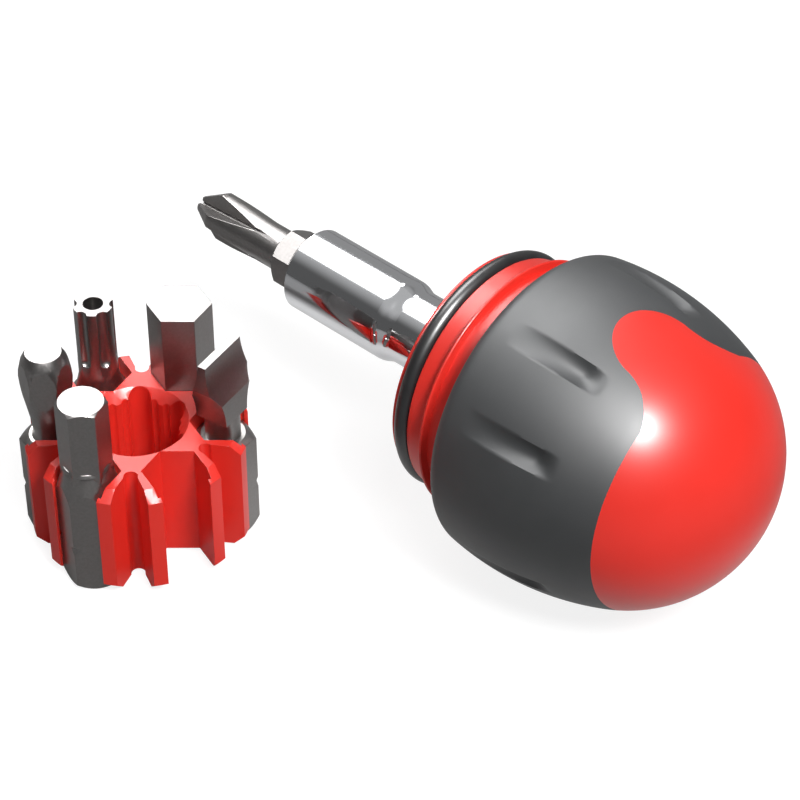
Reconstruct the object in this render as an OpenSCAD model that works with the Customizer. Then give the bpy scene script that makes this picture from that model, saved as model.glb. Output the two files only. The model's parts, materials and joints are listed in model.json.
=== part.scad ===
// Stubby ratcheting screwdriver with a ball handle, and its six-pocket bit carousel.
// Millimetres. The driver lies level along X with its tip towards -X and its ball on z = 0.
// The carousel stands on the same plane beside the driver. Z points up.

/* [Handle] */
// Widest radius of the ball handle
grip_r = 18.25; // [17.5:0.05:20]
// Distance from the grip's front edge back to its widest place
barrel_back = 7.2; // [6:0.1:8]
// Radius of the long arc along the grip's side
barrel_r = 35; // [32:1:45]
// How much smaller the radius of the ball's round end is than the widest radius
end_less = 1.25; // [1.05:0.05:1.65]
// Radius of the grip's front shoulder
shoulder_r = 2; // [1.8:0.1:2.6]
// Thickness of the soft grip over the shell
grip_t = 1.5; // [1.2:0.1:1.8]
// Distance from the grip's front edge back to its rear border
grip_len = 21.4; // [20:0.1:22]
// Distance from the grip's front edge back to the tip of each red tongue
tongue_front = 12.1; // [10:0.1:14]
// Radius of each red tongue's rounded end
tongue_r = 4.9; // [4:0.1:5.5]
// Radius of the hollow curves that lead each tongue into the border
tongue_blend_r = 5; // [4:0.1:5.5]
// Wall left round the storage space in the dome
dome_wall = 1.1; // [1:0.05:1.2]
// Radius of the shell's neck
neck_r = 14.6; // [14.4:0.1:15.2]
// Length of the neck in front of the grip
neck_len = 2.5; // [2.2:0.1:2.8]
// Depth and width of the narrow groove between grip and neck
neck_groove = 0.4; // [0.2:0.1:0.6]

/* [Finger grooves] */
// Depth of a finger groove at the grip's widest place
groove_depth = 0.85; // [0.5:0.05:1.1]
// Radius of a finger groove's cross-section
groove_r = 2.4; // [2:0.1:3]
// Distance from the grip's front edge back to a groove's middle
groove_mid = 9.8; // [9:0.1:11]
// Length of a groove between the centres of its round ends
groove_len = 8.6; // [7:0.1:10]
// Lean of a groove's bottom towards the axis, in degrees
groove_lean = 4.5; // [3:0.5:6]

/* [Selector collar] */
// Outer radius of the collar's smooth band
collar_r = 14.1; // [13.9:0.05:14.3]
// Distance from the grip's front edge to the collar's front face
collar_front = 8; // [7.8:0.1:8.4]
// Width of the groove for the rubber ring
ring_groove_w = 1.75; // [1.6:0.05:1.8]
// Thickness of the rim in front of the rubber ring
rim_t = 0.75; // [0.6:0.05:0.9]
// Radius of the rim
rim_r = 13.85; // [13.6:0.05:14]
// Radius of the floor of the rubber ring's groove
ring_floor_r = 12.5; // [12.4:0.05:12.7]
// Inner radius of the collar
collar_bore_r = 11.7; // [11.6:0.05:11.8]

/* [Spindle] */
// Radius of the chuck
chuck_r = 5; // [4.9:0.05:5.6]
// Distance from the grip's front edge to the chuck's front end
chuck_front = 33.4; // [32:0.1:36]
// Length of the chuck in front of its step
chuck_len = 14; // [12:0.1:15]
// Length of the rounded step between chuck and neck
step_len = 2.4; // [2:0.1:3]
// Radius of the neck behind the chuck
spindle_neck_r = 4.45; // [4.2:0.05:4.6]
// Radius of the rear journal
journal_r = 2.6; // [2.4:0.05:2.8]
// Depth of the hex socket
socket_depth = 7.3; // [6.5:0.1:8]
// Thickness of a bush's wall
bush_t = 0.95; // [0.8:0.05:1]
// Outer radius of the cover's nose
nose_r = 7.2; // [6.8:0.1:7.4]
// Length of the cover's nose in front of the cover
nose_len = 3.3; // [2.5:0.1:3.5]

/* [Ratchet] */
// Number of teeth on the gear
teeth = 24; // [24:24:24]
// Outer radius of the gear
gear_r = 6; // [5.95:0.05:6.05]
// Depth of a gear tooth
tooth_depth = 1.2; // [1.15:0.05:1.3]
// Width of the gear
gear_w = 2.7; // [2.3:0.1:2.8]
// Corner radius of the gear's hex seat on the spindle
gear_seat_r = 3.3; // [3.2:0.05:3.5]
// Radius at which the pawl's pin stands
pawl_pin_at = 9.2; // [9.1:0.05:9.3]
// Radius of the pawl's pin
pawl_pin_r = 0.8; // [0.7:0.05:0.9]
// Radius of the pawl's back
pawl_back_r = 11.05; // [11:0.05:11.1]
// Gap between the gear's teeth and the pawl's hollow side
pawl_hollow = 1; // [0.9:0.05:1.1]
// Thickness of the pawl's two arms
pawl_arm_t = 2.3; // [2:0.1:2.5]

/* [Bits] */
// Width across the flats of every bit's hex shank
bit_af = 6.35; // [6.3:0.01:6.4]
// Length of a bit
bit_len = 25; // [24.5:0.1:25.2]
// Clearance between a hex shank and each flat of its hex hole
hex_fit = 0.04; // [0.03:0.01:0.05]
// Length of hex shank on the bits in the carousel
shank_len = 12.4; // [12:0.1:13]
// Height of the small notches in a shank's corners
notch_h = 6; // [5:0.1:7]
// Length of hex shank on the cross-head bit
cross_shank = 10.3; // [9.5:0.1:11]
// Radius of the cross-head bit's waist
cross_waist_r = 2.5; // [2.3:0.05:2.7]
// Radius of the cross-head bit's wings
cross_wing_r = 2.95; // [2.8:0.05:3.05]
// Radius of the cross-head bit's blunt point
cross_point_r = 1.1; // [0.9:0.05:1.3]
// Width across the flats of the small hex bit's head
hex_head_af = 5; // [4.8:0.1:5.2]
// Radius of the ball-ended bit's swelling, over its corners
ball_bit_r = 3; // [2.8:0.05:3.1]
// Outer radius of the six-lobed bit's head
star_r = 2.25; // [2.1:0.05:2.4]
// Radius of the pin hole in the six-lobed bit
pin_hole_r = 1.15; // [1:0.05:1.2]
// Depth of that pin hole
pin_hole_depth = 3.5; // [2.5:0.1:4]
// Width of the flat blade at its end
blade_w = 6.6; // [6.2:0.1:6.8]
// Thickness of the flat blade at its end
blade_t = 1; // [0.8:0.05:1.2]
// Radius of the round waist under the blade
blade_waist_r = 2; // [1.8:0.05:2.2]

/* [Carousel] */
// Height of the carousel
carousel_h = 14.65; // [13:0.05:16]
// Height at which the carousel is held off the floor by its bits
carousel_lift = 0.35; // [0.2:0.05:0.6]
// Outer radius of the carousel's arms
carousel_r = 12.5; // [12.3:0.05:12.7]
// Height and width of the bevels on the arms' ends
carousel_bevel = 1.2; // [0.8:0.1:1.4]
// Radius of the circle on which the pockets lie
pocket_at = 9.52; // [9.4:0.02:9.6]
// Reach of the small lips at a pocket's mouth
lip_catch = 0.35; // [0.2:0.05:0.4]
// Radius of the countersink at the top of the bore
bore_sink_r = 5.85; // [5.6:0.05:6]
// Radius at which each notch between the pockets has its root
web_notch_at = 8.3; // [8:0.1:9]
// Half the width of each notch at the carousel's rim
web_notch_half = 2.3; // [2:0.1:2.4]
// Distance from the grip's front edge forward to the carousel's axis
carousel_ahead = 31.5; // [28:0.5:36]
// Distance from the driver's axis sideways to the carousel's axis
carousel_aside = 29.85; // [27:0.05:34]
// Turn of the carousel about its own axis, in degrees
carousel_turn = -17.2; // [-30:0.1:30]

/* [Splined post] */
// Radius of the post between its ribs
post_r = 4.55; // [4.5:0.05:4.6]
// Radius of a rib's rounded back
rib_r = 1.2; // [1:0.05:1.25]
// Radius of the circle on which the ribs lie
rib_at = 4.6; // [4.5:0.05:4.65]
// Clearance between the post and what slides on it
post_fit = 0.1; // [0.08:0.01:0.12]
// Distance from the grip's front edge back to the post's end
post_back = 27.9; // [27:0.1:28]
// Radius of the hollow along the post
post_core_r = 2; // [1.5:0.1:2.2]

/* [Hidden] */
$fn = 48;
red_plastic = [0.83, 0.13, 0.1];
dark_grip = [0.27, 0.28, 0.29];
chrome = [0.85, 0.86, 0.88];
bit_steel = [0.5, 0.49, 0.48];
brass = [0.75, 0.6, 0.3];
black_rubber = [0.08, 0.08, 0.08];
spring_steel = [0.65, 0.65, 0.67];

// Overrun of every cut past the face that it opens
over = 0.5;
// Radial clearance of a shaft that turns in its hole
run_fit = 0.04;
// Radial clearance of a piece that is pressed or bonded into its seat
seat_fit = 0.01;
// Gap between faces that pass each other
face_gap = 0.1;
// Small bevel on moulded and turned edges
edge = 0.3;
pocket_count = 6;

// Ball handle: the centres of the outline's three arcs
end_r = grip_r - end_less;
end_c = barrel_back + sqrt(pow(barrel_r - end_r, 2) - pow(barrel_r - grip_r, 2));
ball_len = end_c + end_r;
barrel_c = grip_r - barrel_r;
shoulder_c = barrel_c + sqrt(pow(barrel_r - shoulder_r, 2) - pow(barrel_back - shoulder_r, 2));
hex_r = bit_af / sqrt(3);
storage_r = pocket_at + hex_r + 2 * post_fit;
dome_r = end_r - dome_wall;
boss_r = rib_at + rib_r + post_fit + dome_wall;
collar_back = neck_len + face_gap;
boss_front = bit_len - collar_back + 3 * face_gap;
socket_back = post_back + 3 * face_gap;
tongue_c = tongue_front + tongue_r;
blend_dip = 0.3;
blend_c = grip_len + blend_dip - tongue_blend_r;
blend_y = sqrt(pow(tongue_r + tongue_blend_r, 2) - pow(tongue_c - blend_c, 2));
tongue_turn = atan2(blend_y, blend_c - tongue_c);
tongue_steps = 6;

// Collar and housing, measured forward from the grip's front edge
ring_front = collar_front - rim_t;
ring_back = ring_front - ring_groove_w;
o_ring_r = ring_groove_w / 2 - face_gap / 2;
plate_t = 1.3;
flange_t = 0.6;
plate_front = collar_back + plate_t;
plate_r = collar_bore_r - face_gap;
plate_flange_w = 0.8;
plate_flange_r = plate_r + plate_flange_w;
flange_gap = 0.35;
gear_back = plate_front + flange_gap + face_gap;
gear_front = gear_back + gear_w;
cover_t = 0.7;
cover_back = gear_front + flange_gap;
cover_front = cover_back + cover_t;
cover_step = 0.5;
cover_r = collar_bore_r + cover_step;
nose_front = cover_front + nose_len;
pillar_r = 1.4;
pillar_at = 9.3;
pillar_angles = [90, 180, 270];
screw_r = 0.6;
screw_head_r = 1.1;
screw_head_t = 0.55;
screw_len = 3;
screw_slot_w = 0.3;

// Detent ball, its block and the track that it clicks in
detent_angle = 135;
selector_step = 20;
detent_r = 0.65;
detent_out = 0.28;
detent_ahead = 1.05;
detent_z = plate_front + detent_ahead;
detent_turns = 5;
spring_end_share = 0.8;
track_depth = 0.35;
track_half = 0.65;
dimple_r = 0.75;
block_w = 2.6;
block_in = 7.4;
block_out = plate_r - face_gap;
block_front = detent_z + detent_r + edge;
detent_at = collar_bore_r + detent_out - detent_r;

// Shift plunger in the collar
plunger_r = 0.45;
plunger_ahead = 0.9;
plunger_z = plate_front + plunger_ahead;
plunger_turns = 3;
plunger_tip = pawl_back_r + face_gap;
plunger_len = 1.3;
plunger_wall = 0.7;
plunger_hole_out = collar_r - plunger_wall;
wire_r = 0.09;

// Gear and pawl
pitch = 360 / teeth;
tip_share = 0.3;
root_share = 0.56;
toe_pitches = 3.5;
toe_tip_w = 0.34;
toe_root_w = 0.86;
toe_r = gear_r - tooth_depth / 2 + face_gap / 2;
pawl_in_r = gear_r + pawl_hollow;
pawl_tail = 8;
pawl_wing = toe_pitches * pitch + pawl_tail;
pawl_hump = 27;

// Spindle and what it holds
journal_back = 1;
bush_back = 0.7;
step_front = chuck_front - chuck_len;
step_drop = chuck_r - spindle_neck_r;
step_arc = (pow(step_len, 2) + pow(step_drop, 2)) / (4 * step_drop);
chuck_edge = 0.5;
clip_t = 0.6;
clip_at = nose_front + face_gap;
clip_inside = 1.3;
clip_r = nose_r - clip_inside;
clip_depth = 0.45;
socket_r = hex_r + 2 * hex_fit / sqrt(3);
socket_bottom = chuck_front - socket_depth;
bit_back = socket_bottom + face_gap;
magnet_r = 2.5;
magnet_t = 1.8;
bit_clip_wire = 0.3;
bit_clip_at = bit_back + notch_h;
post_ring_wire = 0.5;
post_ring_from_end = 3;
post_ring_at = post_back - post_ring_from_end;
post_ring_in = post_r + post_fit - run_fit - 2 * post_ring_wire;

// Bits
end_bevel = 0.75;
notch_depth = 0.32;
notch_half = 0.7;
shank_slope = 0.9;
cross_neck_h = 14.5;
cross_wing_h = 18.75;
wing_tip_len = 3;
wing_turn = 15;
flute_lean = 10.3;
flute_in = 0.55;
flute_open = 47;
relief_w = 0.36;
relief_d = 0.25;
hex_head_len = 9.8;
hex_head_turn = 5;
star_flute_r = 0.72;
star_flute_at = 2.5;
star_head_len = 7;
star_cone = 2;
blade_turn = 58;
blade_swell = 0.28;
blade_swell_h = 3.5;
blade_scoop_h = 5.2;
blade_len = 8.6;
waist_h = 1.3;
// Radius and height of the ball-ended head, as shares of its swelling and of its length
ball_shares = [[0, 1], [0.67, 1], [0.86, 0.91], [0.97, 0.79], [1, 0.71], [0.96, 0.6],
    [0.83, 0.41], [0.7, 0.21], [0.64, 0.06], [0.72, 0]];

// Carousel
pocket_half = bit_af / 2 + hex_fit;
lip_at = 2.2;
web_root_r = 0.8;
web_neck_share = 0.88;
minor_r = 0.55;
minor_in = 0.25;
minor_angle = 10;
sink_depth = 1.2;

// The set's box is centred over the origin
nose_tip = bit_back + bit_len;
far_bit = pocket_at + hex_r;
set_x = (nose_tip - ball_len) / 2;
set_y = (carousel_aside + far_bit - grip_r) / 2;

// The driver's own frame: z runs forward along its axis and x points up
module at_driver() {
    translate([set_x, set_y, grip_r]) rotate([0, -90, 0]) children();
}

module at_carousel() {
    translate([set_x - carousel_ahead, set_y - carousel_aside, 0])
        rotate([0, 0, carousel_turn]) children();
}

module at_pocket(k) {
    at_carousel() rotate([0, 0, 360 / pocket_count * k]) translate([pocket_at, 0, 0]) children();
}

// Lays a piece on a radius of the driver, with its own z pointing outwards
module on_radius(angle, height) {
    rotate([0, 0, angle]) translate([0, 0, height]) rotate([0, 90, 0]) children();
}

// A plate that reaches from z0 to z1
module slab(z0, z1) {
    translate([0, 0, z0]) linear_extrude(height = z1 - z0) children();
}

module rod(r, z0, z1) {
    translate([0, 0, z0]) cylinder(r = r, h = z1 - z0);
}

module tube(r_out, r_in, z0, z1) {
    difference() {
        rod(r_out, z0, z1);
        rod(r_in, z0 - over, z1 + over);
    }
}

module cone(r0, r1, z0, z1) {
    translate([0, 0, z0]) cylinder(r1 = r0, r2 = r1, h = z1 - z0);
}

module torus(r, wire) {
    rotate_extrude() translate([r, 0]) circle(wire);
}

// A pie slice of half-angle a that reaches past radius r
module pie(r, a) {
    polygon([[0, 0], [2 * r * cos(a), -2 * r * sin(a)], [2 * r, 0], [2 * r * cos(a), 2 * r * sin(a)]]);
}

// A closed coil along z, of plain round wire
function coil_ring(r, wire, turns, h, i, rings, sides) =
    let (a = 360 * turns * i / rings, z = wire + (h - 2 * wire) * i / rings)
    [for (s = [0 : sides - 1]) let (b = 360 * s / sides, q = r + wire * cos(b))
        [q * cos(a), q * sin(a), z + wire * sin(b)]];

module coil(r, wire, turns, h) {
    sides = 6;
    rings = 10 * turns;
    points = [for (i = [0 : rings]) each coil_ring(r, wire, turns, h, i, rings, sides)];
    walls = [for (i = [0 : rings - 1], s = [0 : sides - 1])
        let (a = i * sides + s, b = i * sides + (s + 1) % sides)
        each [[a, b + sides, b], [a, a + sides, b + sides]]];
    ends = [[for (s = [0 : sides - 1]) s], [for (s = [sides - 1 : -1 : 0]) rings * sides + s]];
    polyhedron(points, concat(walls, ends));
}

// Where neighbouring arcs of the ball's outline meet, for an outline drawn inwards by inset
function end_join(inset) =
    end_c + (end_r - inset) * (end_c - barrel_back) / (barrel_r - end_r);
function shoulder_join(inset) =
    barrel_back - (barrel_back - shoulder_r) * (barrel_r - inset) / (barrel_r - shoulder_r);

// Half of the ball handle's outline, with the ball's end towards -y
module ball_outline(inset) {
    back = end_join(inset);
    front = shoulder_join(inset);
    intersection() {
        translate([0, -end_c]) circle(end_r - inset);
        translate([0, -ball_len]) square([grip_r, ball_len - inset]);
    }
    intersection() {
        translate([barrel_c, -barrel_back]) circle(barrel_r - inset);
        translate([0, -back]) square([grip_r, back - front]);
    }
    translate([shoulder_c, -shoulder_r]) circle(shoulder_r - inset);
    translate([0, -front - over]) square([shoulder_c, front + over - inset]);
}

// Points along one side of a tongue: half of its round end, then the hollow curve to the border
function tongue_side(side) = concat(
    [for (i = [0 : tongue_steps]) let (a = tongue_turn * i / tongue_steps)
        [side * tongue_r * sin(a), tongue_r * cos(a) - tongue_c]],
    [for (i = [1 : tongue_steps]) let (a = tongue_turn * (1 - i / tongue_steps))
        [side * (blend_y - tongue_blend_r * sin(a)), -blend_c - tongue_blend_r * cos(a)]]);

// The red tongue that the grip leaves bare, in y and z
module tongue_outline() {
    left = tongue_side(-1);
    right = tongue_side(1);
    polygon(concat([for (i = [len(left) - 1 : -1 : 1]) left[i]], right));
}

// Turns an outline round the driver's axis, with the seam of its surface at an angle
module turned(seam) {
    rotate([0, 0, seam]) rotate_extrude() children();
}

module tongues() {
    for (side = [0, 180]) {
        rotate([0, 0, side]) rotate([0, 90, 0]) rotate([0, 0, 90])
            linear_extrude(height = 2 * grip_r) tongue_outline();
    }
}

// Half of the layer between the ball's outline and the same outline drawn in by depth
module layer_outline(depth) {
    difference() {
        ball_outline(0);
        ball_outline(depth);
        translate([0, -ball_len - over]) square([grip_r + over, ball_len + over - grip_len]);
        translate([0, -neck_len]) square([neck_r - neck_groove, 2 * neck_len]);
    }
}

module finger_groove() {
    translate([grip_r + groove_r - groove_depth, 0, -groove_mid]) rotate([0, groove_lean, 0]) {
        translate([0, 0, -groove_len / 2]) cylinder(r = groove_r, h = groove_len);
        for (end = [-1, 1]) {
            translate([0, 0, end * groove_len / 2]) sphere(groove_r);
        }
    }
}

module grip_sleeve() {
    color(dark_grip) at_driver() difference() {
        turned(90) layer_outline(grip_t);
        tongues();
        for (side = [0, 180], angle = [-60, -30, 30, 60]) {
            rotate([0, 0, side + angle]) finger_groove();
        }
    }
}

// Cross-section of the post, and with a clearance of the holes that it slides in
module spline_outline(clearance) {
    circle(post_r + clearance);
    for (k = [0 : pocket_count - 1]) {
        rotate(360 / pocket_count * (k + 0.5)) translate([rib_at, 0]) circle(rib_r + clearance);
    }
}

// Half of the hollow in which the carousel is stored
module storage_outline() {
    translate([0, -end_c]) square([storage_r, end_c + neck_len + over]);
    intersection() {
        translate([0, -end_c]) circle(dome_r);
        translate([0, -ball_len]) square([storage_r, ball_len + over - end_c]);
    }
}

module neck_outline() {
    polygon([[0, -neck_len], [neck_r - neck_groove, -neck_len], [neck_r - neck_groove, neck_groove],
        [neck_r, neck_groove], [neck_r, neck_len - edge], [neck_r - edge, neck_len], [0, neck_len]]);
}

// Half of the shell without its tongues
module shell_outline() {
    difference() {
        union() {
            ball_outline(grip_t);
            neck_outline();
            intersection() {
                ball_outline(0);
                translate([0, -ball_len]) square([grip_r, ball_len - grip_len]);
            }
        }
        storage_outline();
    }
}

module handle_shell() {
    color(red_plastic) at_driver() difference() {
        union() {
            turned(45) shell_outline();
            intersection() {
                turned(90) layer_outline(grip_t + edge);
                tongues();
            }
            intersection() {
                rod(boss_r, -ball_len, -boss_front);
                translate([0, 0, -end_c]) sphere(dome_r + dome_wall / 2);
            }
        }
        slab(-socket_back, over - boss_front) spline_outline(post_fit);
    }
}

module at_pillars() {
    for (angle = pillar_angles) {
        rotate([0, 0, angle]) translate([pillar_at, 0, 0]) children();
    }
}

module detent_block() {
    rotate([0, 0, detent_angle]) difference() {
        intersection() {
            translate([block_in, -block_w / 2, plate_front - over])
                cube([block_out - block_in + over, block_w, block_front - plate_front + over]);
            rod(block_out, 0, block_front);
        }
        translate([0, 0, detent_z]) rotate([0, 90, 0])
            rod(detent_r + run_fit, block_in + over, block_out + over);
    }
}

module ratchet_housing() {
    color(red_plastic) at_driver() {
        difference() {
            union() {
                rod(plate_flange_r, collar_back, collar_back + flange_t);
                rod(plate_r, collar_back, plate_front);
                slab(-post_back, plate_front) spline_outline(0);
                at_pillars() rod(pillar_r, collar_back, cover_back);
            }
            at_pillars() rod(screw_r + seat_fit, cover_front - screw_len, cover_back + over);
            translate([pawl_pin_at, 0, 0])
                rod(pawl_pin_r + seat_fit, plate_front - plate_t / 2, plate_front + over);
            // Seat of the rear bush, and the hollow along the post
            rod(journal_r + bush_t + seat_fit, bush_back, plate_front + over);
            rod(post_core_r, -post_back - over, bush_back + over);
            // Groove of the post's rubber ring
            translate([0, 0, -post_ring_at])
                tube(rib_at + rib_r + over, post_ring_in - seat_fit,
                    -post_ring_wire - run_fit, post_ring_wire + run_fit);
            // Bevel at the post's end
            difference() {
                rod(rib_at + rib_r + over, -post_back - over, end_bevel - post_back);
                cone(rib_at + rib_r - end_bevel - over, rib_at + rib_r, -post_back - over,
                    end_bevel - post_back);
            }
        }
        detent_block();
    }
}

module front_cover() {
    color(red_plastic) at_driver() difference() {
        union() {
            rod(cover_r, cover_back, cover_front);
            rod(nose_r, cover_back, nose_front - edge);
            cone(nose_r, nose_r - edge, nose_front - edge, nose_front);
        }
        rod(spindle_neck_r + bush_t + seat_fit, cover_back - over, nose_front + over);
        at_pillars() rod(screw_r + seat_fit, cover_back - over, cover_front + over);
        translate([pawl_pin_at, 0, 0])
            rod(pawl_pin_r + seat_fit, cover_back - over, cover_back + cover_t / 2);
    }
}

module cover_screws() {
    color(spring_steel) at_driver() at_pillars() {
        rod(screw_r, cover_front - screw_len, cover_front);
        difference() {
            rod(screw_head_r, cover_front, cover_front + screw_head_t);
            translate([-screw_head_r, -screw_slot_w / 2, cover_front + screw_head_t / 2])
                cube([2 * screw_head_r, screw_slot_w, screw_head_t]);
        }
    }
}

module front_bush() {
    color(brass) at_driver()
        tube(spindle_neck_r + bush_t, spindle_neck_r + run_fit, cover_back, nose_front);
}

module rear_bush() {
    color(brass) at_driver() difference() {
        union() {
            rod(journal_r + bush_t, bush_back, plate_front);
            rod(journal_r + 2 * bush_t, plate_front, plate_front + flange_gap);
        }
        rod(journal_r + run_fit, bush_back - over, gear_back);
    }
}

module pawl_pin() {
    color(spring_steel) at_driver() translate([pawl_pin_at, 0, 0])
        rod(pawl_pin_r, plate_front - plate_t / 2, cover_back + cover_t / 2);
}

module detent_ball() {
    color(spring_steel) at_driver() on_radius(detent_angle, detent_z)
        translate([0, 0, detent_at]) sphere(detent_r);
}

module detent_spring() {
    color(spring_steel) at_driver() on_radius(detent_angle, detent_z)
        translate([0, 0, block_in + over])
        coil(detent_r - 2 * wire_r, wire_r, detent_turns,
            detent_at - detent_r * spring_end_share - block_in - over);
}

module post_ring() {
    color(black_rubber) at_driver() translate([0, 0, -post_ring_at])
        torus(post_ring_in + post_ring_wire, post_ring_wire);
}

module selector_outline() {
    lead = cover_back - face_gap;
    polygon([[collar_bore_r, collar_back + flange_t + face_gap], [collar_bore_r, lead],
        [cover_r + face_gap, lead], [cover_r + face_gap, collar_front],
        [rim_r - edge, collar_front], [rim_r, collar_front - edge], [rim_r, ring_front],
        [ring_floor_r, ring_front], [ring_floor_r, ring_back], [collar_r - edge, ring_back],
        [collar_r, ring_back - edge], [collar_r, collar_back + edge], [collar_r - edge, collar_back],
        [plate_flange_r + face_gap, collar_back],
        [plate_flange_r + face_gap, collar_back + flange_t + face_gap]]);
}

module selector_ring() {
    color(red_plastic) at_driver() difference() {
        rotate_extrude() selector_outline();
        // Track of the detent ball, with a dimple for each of its three places
        rod(collar_bore_r + track_depth, detent_z - track_half, detent_z + track_half);
        for (step = [-1, 0, 1]) {
            on_radius(detent_angle + step * selector_step, detent_z)
                translate([0, 0, detent_at]) sphere(dimple_r);
        }
        on_radius(0, plunger_z) rod(plunger_r + run_fit, collar_bore_r - over, plunger_hole_out);
    }
}

module o_ring() {
    color(black_rubber) at_driver() translate([0, 0, (ring_front + ring_back) / 2])
        torus(ring_floor_r + o_ring_r + seat_fit, o_ring_r);
}

module shift_plunger() {
    color(spring_steel) at_driver() on_radius(0, plunger_z) {
        rod(plunger_r, plunger_tip + plunger_r, plunger_tip + plunger_len);
        translate([0, 0, plunger_tip + plunger_r]) sphere(plunger_r);
    }
}

module plunger_spring() {
    color(spring_steel) at_driver() on_radius(0, plunger_z)
        translate([0, 0, plunger_tip + plunger_len])
        coil(plunger_r - wire_r, wire_r, plunger_turns,
            plunger_hole_out - plunger_tip - plunger_len);
}

// The rounded step between the spindle's neck and its chuck
module step_outline() {
    middle = step_front - step_len / 2;
    intersection() {
        translate([chuck_r - step_arc, step_front]) circle(step_arc, $fn = 96);
        translate([0, middle]) square([chuck_r, step_len / 2]);
    }
    difference() {
        translate([0, middle - step_len / 2]) square([chuck_r - step_drop / 2, step_len / 2]);
        translate([spindle_neck_r + step_arc, step_front - step_len]) circle(step_arc, $fn = 96);
    }
}

module spindle() {
    color(chrome) at_driver() difference() {
        union() {
            rod(journal_r, journal_back, gear_back);
            slab(gear_back, gear_front) circle(gear_seat_r, $fn = 6);
            rotate_extrude() {
                translate([0, gear_front]) square([spindle_neck_r, step_front - step_len - gear_front]);
                step_outline();
                translate([0, step_front]) polygon([[0, 0], [chuck_r, 0],
                    [chuck_r, chuck_len - chuck_edge], [chuck_r - chuck_edge, chuck_len], [0, chuck_len]]);
            }
        }
        slab(socket_bottom, chuck_front + over) circle(socket_r, $fn = 6);
        cone(socket_r - edge, socket_r + edge, chuck_front - edge, chuck_front + edge);
        rod(magnet_r + seat_fit, socket_bottom - magnet_t, socket_bottom + over);
        // Grooves of the two wire rings
        rod(hex_r + 2 * bit_clip_wire + 2 * run_fit, bit_clip_at - bit_clip_wire - run_fit,
            bit_clip_at + bit_clip_wire + run_fit);
        tube(spindle_neck_r + over, spindle_neck_r - clip_depth, clip_at, clip_at + clip_t);
    }
}

module ratchet_gear() {
    root_r = gear_r - tooth_depth;
    color(spring_steel) at_driver() slab(gear_back, gear_front) difference() {
        polygon([for (k = [0 : teeth - 1], c = [[-root_share, root_r], [-tip_share, gear_r],
            [tip_share, gear_r], [root_share, root_r]])
            let (a = pitch * (k + c[0] / 2)) c[1] * [cos(a), sin(a)]]);
        circle(gear_seat_r + seat_fit, $fn = 6);
    }
}

module spindle_clip() {
    color(spring_steel) at_driver() slab(clip_at + seat_fit, clip_at + clip_t - seat_fit) difference() {
        circle(clip_r);
        circle(spindle_neck_r - clip_depth + seat_fit);
        translate([0, -clip_depth]) square([clip_r + over, 2 * clip_depth]);
    }
}

module bit_magnet() {
    color(spring_steel) at_driver() rod(magnet_r, socket_bottom - magnet_t, socket_bottom);
}

module bit_clip() {
    color(spring_steel) at_driver() translate([0, 0, bit_clip_at])
        torus(hex_r + bit_clip_wire + run_fit, bit_clip_wire);
}

// A toe of the pawl, pointing at the gear, with its tip where the gear's half depth lies
module toe_outline() {
    polygon([[toe_r, -toe_tip_w / 2], [pawl_in_r + face_gap, -toe_root_w / 2],
        [pawl_in_r + face_gap, toe_root_w / 2], [toe_r, toe_tip_w / 2]]);
}

module rocker_pawl() {
    color(bit_steel) at_driver() slab(gear_back + face_gap, gear_front - face_gap) difference() {
        union() {
            intersection() {
                difference() {
                    circle(pawl_in_r + pawl_arm_t);
                    circle(pawl_in_r);
                }
                pie(pawl_back_r, pawl_wing);
            }
            intersection() {
                difference() {
                    circle(pawl_back_r);
                    circle(pawl_in_r);
                }
                pie(pawl_back_r, pawl_hump);
            }
            for (side = [-1, 1]) {
                rotate(side * toe_pitches * pitch) toe_outline();
            }
        }
        translate([pawl_pin_at, 0]) circle(pawl_pin_r + run_fit);
    }
}

// A hex shank that stands on z = 0, with a bevelled end, notched corners and a turned-down top
module bit_shank(h) {
    top = h + shank_slope;
    intersection() {
        slab(0, top) circle(hex_r, $fn = 6);
        rotate_extrude() polygon([[0, 0], [hex_r - end_bevel, 0], [hex_r, end_bevel],
            [hex_r, notch_h - notch_half], [hex_r - notch_depth, notch_h],
            [hex_r, notch_h + notch_half], [hex_r, h], [cross_waist_r, top], [0, top]]);
    }
}

module cross_flute() {
    d = 2 * cross_wing_r;
    translate([flute_in, 0, bit_len]) rotate([0, -flute_lean, 0]) slab(-bit_len, over) {
        polygon([[0, 0], [d, -d * tan(flute_open)], [d, d * tan(flute_open)]]);
        translate([-relief_d, -relief_w / 2]) square([2 * relief_d, relief_w]);
    }
}

module cross_bit() {
    wing_front = bit_len - wing_tip_len;
    color(bit_steel) at_driver() translate([0, 0, bit_back]) {
        bit_shank(cross_shank);
        difference() {
            rotate_extrude() polygon([[0, cross_shank], [cross_waist_r, cross_shank],
                [cross_waist_r, cross_neck_h], [cross_wing_r - edge / 2, cross_wing_h],
                [cross_wing_r, wing_front - edge], [cross_wing_r - edge / 2, wing_front],
                [cross_point_r, bit_len], [0, bit_len]]);
            for (k = [0 : 3]) {
                rotate([0, 0, wing_turn + 90 * (k + 0.5)]) cross_flute();
            }
        }
    }
}

module hex_bit() {
    head_r = hex_head_af / sqrt(3);
    color(bit_steel) at_pocket(5) {
        bit_shank(shank_len);
        rotate([0, 0, hex_head_turn]) intersection() {
            slab(shank_len, bit_len) circle(head_r, $fn = 6);
            rotate_extrude() polygon([[0, shank_len], [head_r, shank_len], [head_r, bit_len - edge],
                [hex_head_af / 2, bit_len], [0, bit_len]]);
        }
        cone(cross_waist_r + edge, head_r - edge, shank_len + shank_slope, bit_len - hex_head_len);
    }
}

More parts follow.
